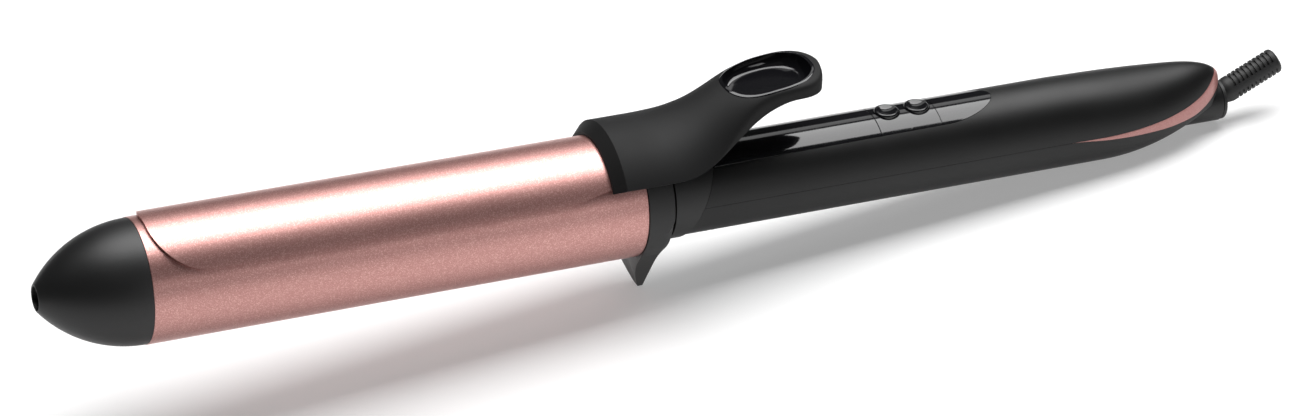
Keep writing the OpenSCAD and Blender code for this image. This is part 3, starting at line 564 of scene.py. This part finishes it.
bowl_end, cup_wall = 0.93, 0.5
share = np.concatenate([bowl_end * np.sin(np.linspace(0, np.pi / 2, 40)), [0.96, 0.985, 1.0]])[:, None]
rim_roll = np.concatenate([np.zeros(40), [0.04, 0.0, -0.1]])[:, None]
around = np.linspace(0, 2 * np.pi, 160, endpoint=False)
bulge_x, bulge_y = (np.sign(f(around)) * np.abs(f(around)) ** (2 / dish_power) for f in (np.cos, np.sin))
reach = np.where(bulge_x > 0, dish_x1 - dish_mid, dish_mid - dish_x0)
x = dish_mid + share * reach * bulge_x
y = share * dish_w * bulge_y
rim_z = lever_top_z(x, np.abs(y) / lever_width(x))
bowl_share = np.clip(share / bowl_end, 0, 1)
z = mix(lever_crown(x) - dish_deep, rim_z, bowl_share ** dish_curve) + rim_roll
upper = np.stack([x, y, z], -1)
lower = np.stack([x, y, np.minimum(dish_bowl(x, y) - dish_skin, z - cup_wall)], -1)
points, faces = thick_sheet(upper, lower, ring=True)
make_piece("thumb_cup", points, faces, gloss_black, "clamp", ["thumb_dish"], sharp=40)

# ---------------------------------------------------------------- handle casings
# Two half shells in soft-touch black plastic make the handle. They meet on a level seam that rises over
# the rear end, and four screws from below join them. The lower one carries the swivel's socket.

soft_black = new_plastic("soft_touch_black", (0.002, 0.002, 0.0021), (0.0035, 0.0035, 0.0036), 0.46, 0.4,
                         specular=0.36)

handle_r, handle_z, casing_wall = 14.25, -1.0, 3.3
rear_x, rear_end, swivel_z, socket_r, bearing_r = 312.0, 357.2, -3.2, 6.5, 5.6
rest_x, rest_r = 315.0, 60.0
fall_x, fall, crown_end_x, crown_drop, crown_power = 300.0, 0.031, 340.0, 7.1, 2.6
neck_x, neck_rise = 175.815, math.tan(math.radians(22.3))
panel_w, panel_start, panel_end, panel_round, panel_taper = 9.2, 168.0, 276.7, 18.7, 0.65
panel_gap, panel_deep, neck_blend_x = 0.14, 1.6, 206
window_x0, window_x1, window_w = 236.8, 256.3, 6.2
seam_low = np.array([(299, -1), (313, -2.2), (326, -2.7), (338, -2.5), (346, -1.2), (351, 0.9), (355, 3.2),
                     (365, 9.5)])
seam_high = np.array([(299, -1), (313, -1), (326, -0.2), (336.5, 1.2), (344.5, 3.1), (349.5, 5),
                      (353.5, 7.4), (360, 12.5)])


def seam_z(curve, x):
    """Height of a seam at x, through its points by a smooth cubic with slopes from its neighbours."""
    slopes = np.gradient(curve[:, 1], curve[:, 0])
    slopes[0] = 0
    i = np.clip(np.searchsorted(curve[:, 0], x) - 1, 0, len(curve) - 2)
    (x0, z0), (x1, z1) = curve[i].reshape(-1, 2).T, curve[i + 1].reshape(-1, 2).T
    x0, z0, x1, z1 = (v.reshape(np.shape(x)) for v in (x0, z0, x1, z1))
    span = x1 - x0
    t = np.clip((x - x0) / span, 0, 1)
    return ((2 * t ** 3 - 3 * t ** 2 + 1) * z0 + (t ** 3 - 2 * t ** 2 + t) * span * slopes[i]
            + (3 * t ** 2 - 2 * t ** 3) * z1 + (t ** 3 - t ** 2) * span * slopes[i + 1])


def handle_half_w(x):
    """Half width: even, then half an ellipse in plan to the rear end."""
    return handle_r * np.sqrt(np.clip(1 - (np.clip(x - rear_x, 0, None) / (rear_end - rear_x)) ** 2, 0, 1))


def handle_up(x):
    """Height above the seam's level: a slight fall, and a superellipse that rounds the rear end off."""
    t = np.clip((x - crown_end_x) / (rear_end - crown_end_x), 0, 1)
    rounding = crown_drop * (1 - (1 - t ** crown_power) ** (1 / crown_power))
    return handle_r - fall * np.clip(x - fall_x, 0, None) - rounding


def handle_down(x):
    """Depth below the seam's level: even, then the long arc that the iron rests on."""
    return handle_r - rest_r + np.sqrt(rest_r ** 2 - np.clip(x - rest_x, 0, None) ** 2)


def handle_skin(x, t, inward=0.0):
    """Point of the handle at x and section angle t, from 0 on the far side over the top at 90 degrees:
    half an ellipse above the seam's level and half below, less a wall measured inward."""
    up = np.where(np.sin(t) > 0, handle_up(x), handle_down(x))
    wide = np.maximum(handle_half_w(x) - inward, 0)
    return np.stack([x, wide * np.cos(t), handle_z + np.maximum(up - inward, 0) * np.sin(t)], -1)


def section_angle(x, z):
    """Section angle, on the far side, at which the skin of the handle at x has the height z."""
    up = np.where(z > handle_z, handle_up(x), handle_down(x))
    return np.arcsin(np.clip((z - handle_z) / np.maximum(up, 1e-6), -1, 1))


def panel_half_w(x, grow=0.0):
    """Half width of the control panel: a slight taper, then half an ellipse to its rear point."""
    straight = panel_end - panel_round - panel_start
    taper = panel_w - panel_taper * np.clip((x - panel_start) / straight, 0, 1)
    t = np.clip((x - panel_end + panel_round) / (panel_round + grow), 0, 1)
    return (taper + grow) * np.sqrt(1 - t ** 2)


def wall_at(point):
    """Wall of the casings: thinner near the swivel's socket, so that nothing reaches into its bearing."""
    gap = np.hypot(point[..., 1], point[..., 2] - swivel_z) - socket_r
    rear = ease(318, 334, point[..., 0])
    return mix(casing_wall, np.clip(0.5 + 0.5 * gap, 0.4, casing_wall), rear)


def slanted(stations, t):
    """x of each grid point: the first stations are drawn onto the neck's slanted plane."""
    start = neck_x + neck_rise * (handle_z + handle_r * np.sin(t))
    pull = 1 - ease(stations[0], neck_blend_x, stations)[:, None]
    return stations[:, None] + (start - stations[0]) * pull


seam_gap = 0.05
tip_turn = np.sin(np.linspace(0, np.pi / 2, 30))
x_lines = np.unique(np.round(np.concatenate([
    np.linspace(170, 234, 56), [window_x0], np.linspace(window_x0 + 1.2, window_x1, 12),
    panel_end - panel_round + (panel_round + panel_gap) * tip_turn, np.linspace(panel_end + 1, rear_x, 24),
    rear_x + (rear_end - rear_x) * np.sin(np.linspace(0, np.pi / 2, 64))]), 4))
x_col = x_lines[:, None]
panel_t = np.arccos(np.clip(panel_half_w(x_col, panel_gap) / handle_r, 0, 1))
window_t = np.arccos(np.minimum(window_w, panel_half_w(x_col, panel_gap) * 0.97) / handle_r)
high_t = section_angle(x_col, np.minimum(seam_z(seam_high, x_col) + seam_gap, handle_z + handle_up(x_col)))
flank_cols, shelf_cols = 40, 5
edge = np.maximum(panel_t, high_t)
window_edge = np.maximum(window_t, edge)
flank = mix(high_t, edge, np.linspace(0, 1, flank_cols))
shelf = mix(edge, window_edge, np.linspace(0, 1, shelf_cols))
middle = mix(window_edge, np.full_like(edge, np.pi / 2), np.linspace(0, 1, 12)[1:])
far_t = np.concatenate([flank, shelf, middle], 1)
t = np.concatenate([far_t, np.pi - far_t[:, -2::-1]], 1)
deep = mirrored(np.arange(far_t.shape[1]) >= flank_cols)
x = slanted(x_lines, t)
skin = handle_skin(x, t)
recessed = handle_skin(x, t, panel_deep)
has_panel = (x_col < panel_end + panel_gap - 1e-3) & deep
outer = np.where(has_panel[..., None], recessed, skin)
inner = handle_skin(x, t, np.where(has_panel, casing_wall, wall_at(skin)))
keep = np.ones((len(x_lines) - 1, t.shape[1] - 1), bool)
in_window = (x_lines[:-1] >= window_x0 - 0.01) & (x_lines[1:] <= window_x1 + 0.01)
window_col = flank_cols + shelf_cols - 1
columns = np.arange(t.shape[1] - 1)
keep[np.ix_(in_window, (columns >= window_col) & (columns < t.shape[1] - 1 - window_col))] = False
points, faces = thick_sheet(outer, inner, keep)
make_piece("handle_top", points, faces, soft_black, "root", ["upper_casing"], sharp=40)

socket_search_x = 330
low_t = section_angle(x_col, np.minimum(seam_z(seam_low, x_col) - seam_gap, handle_z + handle_up(x_col)))
t = -np.pi / 2 + (low_t + np.pi / 2) * np.linspace(1, 0, 72)[:-1]
t = np.concatenate([t, np.full((len(x_lines), 1), -np.pi / 2), -np.pi - t[:, ::-1]], 1)
x = slanted(x_lines, t)
skin = handle_skin(x, t)
inner = handle_skin(x, t, wall_at(skin))
socket_gap = np.hypot(skin[..., 1], skin[..., 2] - swivel_z) - (socket_r - 0.05)
cell_gap = np.minimum(np.minimum(socket_gap[:-1, :-1], socket_gap[1:, :-1]),
                      np.minimum(socket_gap[:-1, 1:], socket_gap[1:, 1:]))
keep = (cell_gap > 0) | (x[:-1, :-1] < socket_search_x)
body_points, body_faces = thick_sheet(skin, inner, keep)
socket_x0, socket_round = 334.5, 0.35
ring_points, ring_faces = turned(
    [(socket_x0, bearing_r), (rear_end, bearing_r), (rear_end, socket_r - socket_round),
     (rear_end - socket_round * 0.3, socket_r - socket_round * 0.3), (rear_end - socket_round, socket_r),
     (socket_x0, socket_r)], swivel_z, 128)
make_piece("handle_bottom", np.concatenate([body_points, ring_points]),
           [*body_faces, *(ring_faces + len(body_points))], soft_black, "root",
           ["lower_casing"], sharp=40)

# ---------------------------------------------------------------- accent trim
# A band of plastic, lacquered rose gold, is clipped between the casings. It starts as a point on each side
# and widens as it wraps the rear end.

trim_lacquer, tree, shader = new_finish("rose_gold_trim", 0.3, coat=0.2, coat_roughness=0.2)
add_group(tree, shader, flakes, {"Base": (0.42, 0.18, 0.165, 1), "Glint": (0.52, 0.26, 0.24, 1),
                                 "Scale": 5200.0, "Roughness": 0.36, "Bump": 0.12})
trim_start, trim_full, trim_bend, trim_stand, trim_deep = 299.5, 318, 330, 0.12, 1.2
wrap = np.sin(np.linspace(0, np.pi / 2, 90))
trim_x = np.unique(np.round(np.concatenate([np.linspace(trim_start, trim_bend, 40),
                                            trim_bend + (rear_end - trim_bend) * wrap]), 4))
x_col = trim_x[:, None]
crown = handle_z + handle_up(x_col)
low_t = section_angle(x_col, np.minimum(seam_z(seam_low, x_col), crown))
high_t = section_angle(x_col, np.minimum(seam_z(seam_high, x_col), crown))
over = np.linspace(0, 1, 13)
strip = mix(low_t, high_t, over)
x = np.repeat(x_col, len(over), 1)
taper = ease(trim_start, trim_full, x)
band_points, band_faces = [], []
for turn_over in (False, True):
    t = np.pi - strip if turn_over else strip
    outer = handle_skin(x, t, -trim_stand * taper * np.sin(np.pi * over) ** 0.5)
    inner = handle_skin(x, t, trim_deep * (0.2 + 0.8 * taper))
    points, faces = thick_sheet(outer, inner)
    on_middle = np.all(np.abs(points[faces][..., 1]) < 1e-6, axis=1)
    band_faces.append(faces[~on_middle] + sum(len(p) for p in band_points))
    band_points.append(points)
make_piece("rear_band", np.concatenate(band_points), np.concatenate(band_faces), trim_lacquer, "root",
           ["accent_trim"], sharp=40)

# ---------------------------------------------------------------- control panel
# Three pieces of polished black plastic fill a recess along the handle's top: a long blank, a square
# plate around the two keys, and a rounded blank behind it. Clips hold them down.

seam_front, seam_rear, panel_wall, hair = 236.3, 256.8, 1.5, 0.08
key_x, key_hole_r = (241.5, 251.6), 4.1
blank_x0, blank_gap = 181, 0.2


def panel_point(x, y, depth):
    """Point of the panel at x and y: on the handle's round, less a depth."""
    r = handle_r - depth
    return np.stack([x, y, handle_z + np.sqrt(r ** 2 - y ** 2)], -1)


def panel_blank(name, lines, node, front_on_neck=False):
    """Blank over the given x lines: straight across between the panel's edges."""
    across = np.linspace(-1, 1, 41)
    x = np.repeat(lines[:, None], 41, 1)
    y = panel_half_w(x) * across
    if front_on_neck:
        start = neck_x + blank_gap + neck_rise * (handle_z + np.sqrt(handle_r ** 2 - y ** 2))
        x = x + (start - lines[0]) * (1 - ease(lines[0], neck_blend_x, x))
    points, faces = thick_sheet(panel_point(x, y, 0), panel_point(x, y, panel_wall))
    make_piece(name, points, faces, gloss_black, "root", [node], sharp=40, bevel=0.12)


panel_blank("panel_front", np.linspace(blank_x0, seam_front - hair, 50), "front_panel", True)
rear_start = seam_rear + hair
panel_blank("panel_rear", rear_start + (panel_end - rear_start) * np.sin(np.linspace(0, np.pi / 2, 44)),
            "rear_panel")

key_plate_x0, key_plate_x1 = seam_front + hair, seam_rear - hair
plate_mid = sum(key_x) / 2
spoke = np.linspace(0, 2 * np.pi, 96, endpoint=False)
plate_points, plate_faces = [], []
for key, low, high in ((key_x[0], key_plate_x0, plate_mid), (key_x[1], plate_mid, key_plate_x1)):
    low_w, high_w = panel_half_w(np.array(low)), panel_half_w(np.array(high))
    corners = [math.atan2(sy * w, cx - key) for cx, w in ((low, low_w), (high, high_w)) for sy in (-1, 1)]
    ray = np.sort(np.unique(np.concatenate([spoke, np.mod(corners, 2 * np.pi)])))
    dx, dy = np.cos(ray), np.sin(ray)
    with np.errstate(divide="ignore"):
        to_x = np.where(dx > 0, (high - key) / dx, (low - key) / dx)
    slope = (high_w - low_w) / (high - low)
    key_w = low_w + slope * (key - low)
    with np.errstate(divide="ignore"):
        to_y = key_w / (np.abs(dy) - slope * dx)
    far = np.where(to_y > 0, np.minimum(np.abs(to_x), to_y), np.abs(to_x))
    reach = mix(key_hole_r, far, np.linspace(0, 1, 9)[:, None])
    x, y = key + reach * dx, reach * dy
    points, faces = thick_sheet(panel_point(x, y, 0), panel_point(x, y, panel_wall), ring=True)
    inside = np.all(np.abs(points[faces][..., 0] - plate_mid) < 1e-6, axis=1)
    plate_faces.append(faces[~inside] + sum(len(p) for p in plate_points))
    plate_points.append(points)
make_piece("key_plate", np.concatenate(plate_points), np.concatenate(plate_faces), gloss_black, "root",
           ["button_plate"], sharp=40, bevel=0.12)

# ---------------------------------------------------------------- keys
# The power and heat keys are round, moulded in the same polished black, with a dished top. Each slides in
# its hole in the plate and stands on a small switch.

key_r, key_top, key_low, flange_r, flange_top, stem_r, stem_low = 3.95, 13.95, 9.5, 4.8, 10.3, 1.5, 8.8
key_dish, key_lip, key_lip_w, key_fall = 0.75, 3.1, 0.15, 0.7
bowl = np.linspace(0, key_lip, 14)
crown_turn = np.linspace(0, np.pi / 2, 9)
key_profile = np.concatenate([
    np.stack([bowl, key_top - key_dish * (1 - (bowl / key_lip) ** 2)], -1),
    np.stack([mix(key_lip + key_lip_w, key_r, np.sin(crown_turn)),
              key_top - key_fall * (1 - np.cos(crown_turn))], -1),
    [(key_r, flange_top), (flange_r, flange_top), (flange_r, key_low), (stem_r, key_low),
     (stem_r, stem_low), (0, stem_low)]])
for name, node, body, at in (("power_key", "power_button", "power_key", key_x[0]),
                             ("heat_key", "heat_button", "heat_key", key_x[1])):
    points, faces = turned(key_profile[:, ::-1], sides=96)
    points = np.stack([at + points[:, 2], points[:, 1], points[:, 0]], -1)
    make_piece(name, points, faces, gloss_black, body, [node], sharp=40)

# ---------------------------------------------------------------- strain relief
# The cord leaves through a rubber sleeve whose ball end tilts on two pins in the swivel. Rows of slots
# cut through its wall above and below let it bend.

relief_rubber = new_plastic("relief_rubber", (0.006, 0.006, 0.0062), (0.009, 0.009, 0.0093), 0.55, 0.5,
                            scale=2500.0)

tilt_x, relief_l, relief_r, root_r, bore_r, ball_r = 355.5, 24.93, 4.15, 3.5, 3.1, 4.2
relief_angle = math.radians(26)
slot_count, slot_first, slot_pitch, slot_w = 10, 8.2, 1.56, 0.78
slot_half, slot_roll, liner_r = math.radians(73), math.radians(-17), 3.45
end_round, neck_span, ball_x0, ball_end = 1.4, (3.8, 6.8), -2.6, 1.5


def relief_radius(x):
    """Profile of the sleeve: the ball about the pins, a slim neck, a smooth swell and a rounded end."""
    ball = np.sqrt(np.clip(ball_r ** 2 - x ** 2, 0, None))
    sleeve = mix(root_r, relief_r, ease(*neck_span, x))
    past = np.clip(x - relief_l + end_round, 0, None)
    end = relief_r - end_round + np.sqrt(np.clip(end_round ** 2 - past ** 2, 0, None))
    return np.minimum(np.where(x < ball_end, np.maximum(ball, np.where(x > 0, root_r, 0)), sleeve), end)


slot_edges = (slot_first + slot_pitch * np.arange(slot_count)[:, None] + np.array([0, slot_w])).ravel()
lines = np.unique(np.round(np.concatenate([
    np.linspace(ball_x0, ball_end, 18), np.linspace(ball_end, 8, 22), slot_edges, slot_edges + slot_w * 0.5,
    relief_l - end_round + end_round * np.sin(np.linspace(0, np.pi / 2, 9))]), 4))
lines = lines[lines <= relief_l]
slot_cols, web_cols = 33, 13
above = np.linspace(-slot_half, slot_half, slot_cols)
web = np.linspace(slot_half, np.pi - slot_half, web_cols + 2)[1:-1]
spread = np.concatenate([above, web, np.pi + above, np.pi + web]) - slot_roll
x = np.repeat(lines[:, None], len(spread), 1)
outer = on_cylinder(np.maximum(relief_radius(x), bore_r + 0.02), x, spread)
inner = on_cylinder(np.full_like(x, bore_r), x, spread)
mid_x = (lines[:-1] + lines[1:]) / 2
in_slot = np.any((mid_x[:, None] > slot_edges[::2]) & (mid_x[:, None] < slot_edges[1::2]), axis=1)
in_arc = np.arange(len(spread)) % (slot_cols + web_cols) < slot_cols - 1
points, faces = thick_sheet(outer, inner, ~(in_slot[:, None] & in_arc), ring=True)
liner_x0, liner_x1 = slot_first - 1, relief_l - 1.5
liner_points, liner_faces = turned([(liner_x0, liner_r), (liner_x1, liner_r), (liner_x1, bore_r),
                                    (liner_x0, bore_r)])
faces = np.concatenate([faces, liner_faces + len(points)])
points = np.concatenate([points, liner_points])
turn_up = np.array([[math.cos(relief_angle), 0, math.sin(relief_angle)], [0, 1, 0],
                    [-math.sin(relief_angle), 0, math.cos(relief_angle)]])
points = points @ turn_up + np.array([tilt_x, 0, swivel_z])
make_piece("cord_sleeve", points, faces, relief_rubber, "cord_relief", ["strain_relief"])
refinish("swivel_rotor", stand_black)

# ---------------------------------------------------------------- working parts inside
# Bracket, heater, spring, screws, circuit board and swivel contacts keep their CAD shapes. Each gets the
# finish of what it is made of: turned or pressed metal, ceramic, mica, fibreglass board or sleeve.


def make_brushed_group():
    """Metal with drawn lines: noise stretched along the iron, for roughness and normal."""
    group, start, end = new_group(
        "drawn metal",
        [("Base", "NodeSocketColor", (0.6, 0.6, 0.62, 1)), ("Deep", "NodeSocketColor", (0.5, 0.5, 0.52, 1)),
         ("Roughness", "NodeSocketFloat", 0.3), ("Bump", "NodeSocketFloat", 0.1)])
    stretch = group.nodes.new("ShaderNodeMapping")
    stretch.inputs["Scale"].default_value = (80, 3000, 3000)
    group.links.new(start.outputs["Vector"], stretch.inputs["Vector"])
    lines = noise_height(group, stretch.outputs["Vector"], 1.0, 2.0)
    finish_group(group, start, end, ("Base", "Deep"), lines, lines, (0.7, 1.3), lines, 0.00003)
    return group


drawn = make_brushed_group()


def new_metal(name, base, deep, roughness):
    """Bare metal in the two given colours."""
    material, tree, shader = new_finish(name, 1.0)
    add_group(tree, shader, drawn, {"Base": (*base, 1), "Deep": (*deep, 1), "Roughness": roughness,
                                    "Bump": 0.15})
    return material


inside = {
    "bright_steel": new_metal("bright_steel", (0.55, 0.55, 0.57), (0.42, 0.42, 0.44), 0.28),
    "spreader_aluminium": new_metal("spreader_aluminium", (0.68, 0.68, 0.7), (0.56, 0.56, 0.58), 0.36),
    "contact_brass": new_metal("contact_brass", (0.7, 0.5, 0.2), (0.55, 0.38, 0.14), 0.3),
    "choke_copper": new_metal("choke_copper", (0.62, 0.3, 0.16), (0.45, 0.2, 0.1), 0.35),
    "heater_ceramic": new_plastic("heater_ceramic", (0.78, 0.75, 0.68), (0.86, 0.84, 0.78), 0.7, 0.5),
    "mica_board": new_plastic("mica_board", (0.6, 0.5, 0.34), (0.72, 0.62, 0.45), 0.55, 0.4, scale=900.0),
    "lead_sleeve": new_plastic("lead_sleeve", (0.66, 0.65, 0.6), (0.75, 0.74, 0.7), 0.6, 0.6, scale=1800.0),
    "board_green": new_plastic("board_green", (0.012, 0.09, 0.03), (0.02, 0.13, 0.045), 0.35, 0.2,
                               coat=0.3),
    "component_black": new_plastic("component_black", (0.012, 0.012, 0.013), (0.02, 0.02, 0.02), 0.5, 0.3),
    "capacitor_yellow": new_plastic("capacitor_yellow", (0.62, 0.4, 0.04), (0.7, 0.48, 0.07), 0.35, 0.1,
                                    coat=0.2),
    "led_lens": new_plastic("led_lens", (0.5, 0.05, 0.03), (0.6, 0.08, 0.05), 0.15, 0.05, coat=0.5),
}
for part in frame["record"]["subparts"]:
    if part["material_slot"] in inside:
        refinish(part["node"], inside[part["material_slot"]])

# ---------------------------------------------------------------- studio
# The iron stands on a plain pale floor that glows a little, so that its shadows stay light. A large
# softbox hangs over it. Weaker ones stand at its far side and low at the near side, and a faint one fills
# the front.

floor_z = cad_box[0][2]
floor_mesh = bpy.data.meshes.new("floor")
floor_reach = 6.0
corners = [(sx * floor_reach, sy * floor_reach, floor_z) for sx, sy in ((-1, -1), (1, -1), (1, 1), (-1, 1))]
floor_mesh.from_pydata(corners, [], [(0, 1, 2, 3)])
floor = bpy.data.objects.new("floor", floor_mesh)
bpy.context.scene.collection.objects.link(floor)
pale, tree, shader = new_finish("pale_floor", 0.0, specular=0.2)
add_group(tree, shader, grain, {"Base": (0.66, 0.66, 0.66, 1), "Worn": (0.68, 0.68, 0.68, 1),
                                "Scale": 800.0, "Roughness": 0.8, "Bump": 0.02})
shader.inputs["Emission Color"].default_value = (1, 1, 1, 1)
shader.inputs["Emission Strength"].default_value = 0.32
floor_mesh.materials.append(pale)

world = bpy.data.worlds.new("studio")
world.use_nodes = True
world.node_tree.nodes["Background"].inputs["Color"].default_value = (0.95, 0.97, 1.0, 1)
world.node_tree.nodes["Background"].inputs["Strength"].default_value = 0.035
bpy.context.scene.world = world


def add_softbox(name, at, toward, size, power):
    """Rectangular light at a point of the iron's axes, in mm, facing another."""
    light = bpy.data.lights.new(name, "AREA")
    light.shape = "RECTANGLE"
    light.size, light.size_y = (side * MM for side in size)
    light.energy = power
    lamp = bpy.data.objects.new(name, light)
    bpy.context.scene.collection.objects.link(lamp)
    here, there = to_row(at), to_row(toward)
    back = (here - there) / np.linalg.norm(here - there)
    across = np.cross((0, 1, 0), back)
    across /= np.linalg.norm(across)
    turn = np.stack([across, np.cross(back, across), back], 1)
    lamp.matrix_world = Matrix.Translation(here) @ Matrix(turn.tolist()).to_4x4()


add_softbox("overhead", (330, 190, 900), (180, 0, 0), (1200, 700), 17.0)
add_softbox("far side", (450, 760, 780), (200, 0, 0), (1000, 230), 1.0)
add_softbox("low strip", (450, -1000, 280), (75, 0, 0), (300, 250), 0.6)
add_softbox("front key", (-300, -1250, 1050), (150, 0, 0), (1400, 900), 0.3)

camera_at = (-404.48, -1275.0, 805.97)
camera_right = np.array([0.92168, -0.38600, 0.03869])
camera_up = np.array([0.16360, 0.47718, 0.86344])
camera_back = np.cross(camera_right, camera_up)
axes = np.stack([along, (0, 1, 0), upward], 1)
camera_turn = axes @ np.stack([camera_right, camera_up, camera_back], 1)
camera_data = bpy.data.cameras.new("camera")
camera_data.sensor_width = 36.0
camera_data.lens = 147.3
camera_data.clip_start, camera_data.clip_end = 0.05, 30.0
camera = bpy.data.objects.new("camera", camera_data)
bpy.context.scene.collection.objects.link(camera)
camera.matrix_world = Matrix.Translation(to_row(camera_at)) @ Matrix(camera_turn.tolist()).to_4x4()
bpy.context.scene.camera = camera
bpy.context.scene.view_settings.view_transform = "Standard"
